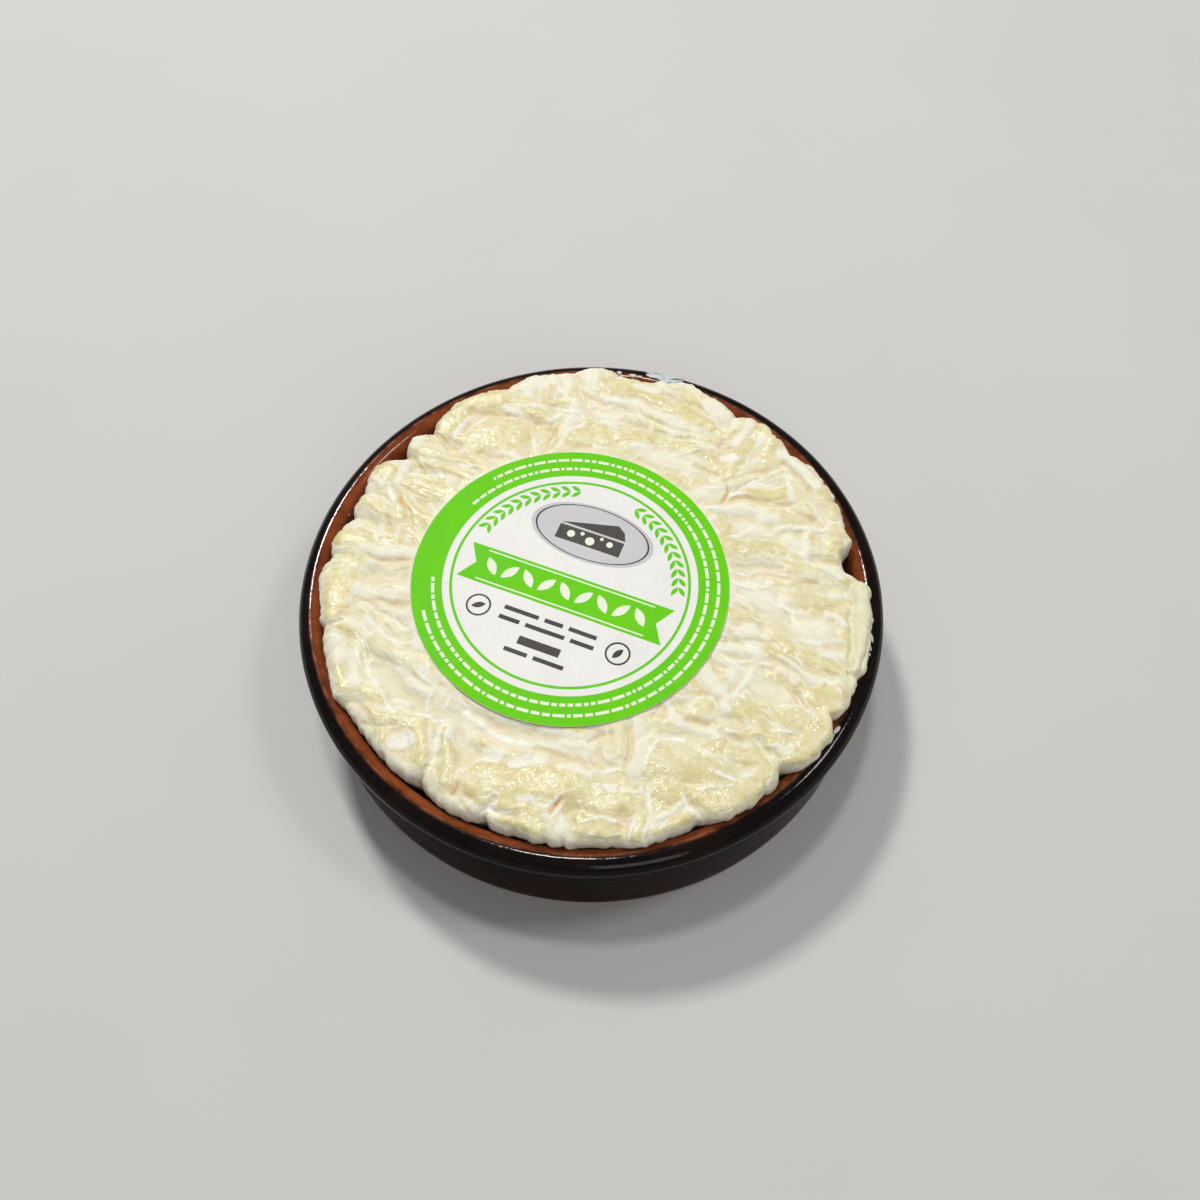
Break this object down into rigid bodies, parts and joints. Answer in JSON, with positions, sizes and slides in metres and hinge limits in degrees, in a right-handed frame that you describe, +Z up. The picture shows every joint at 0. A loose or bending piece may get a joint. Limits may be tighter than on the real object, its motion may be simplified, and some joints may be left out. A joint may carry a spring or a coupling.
{
  "type": "cheese wheel",
  "caption": "Soft-ripened round cheese with a folded white rind, filling its own shallow glazed earthenware dish, with a round green and white paper label on top.",
  "frame": {"origin": "middle of the dish's foot, on the surface it stands on", "axes": "+Z up along the dish's axis; -Y towards the front of the picture's view, +X to its right"},
  "size_m": [0.1224, 0.1224, 0.0301],
  "materials": {
    "glaze": "gloss",
    "rind": "satin",
    "paper": "satin"
  },
  "bodies": {
    "root": {"dish": "glaze", "cheese": "rind", "label": "paper"}
  },
  "joints": []
}
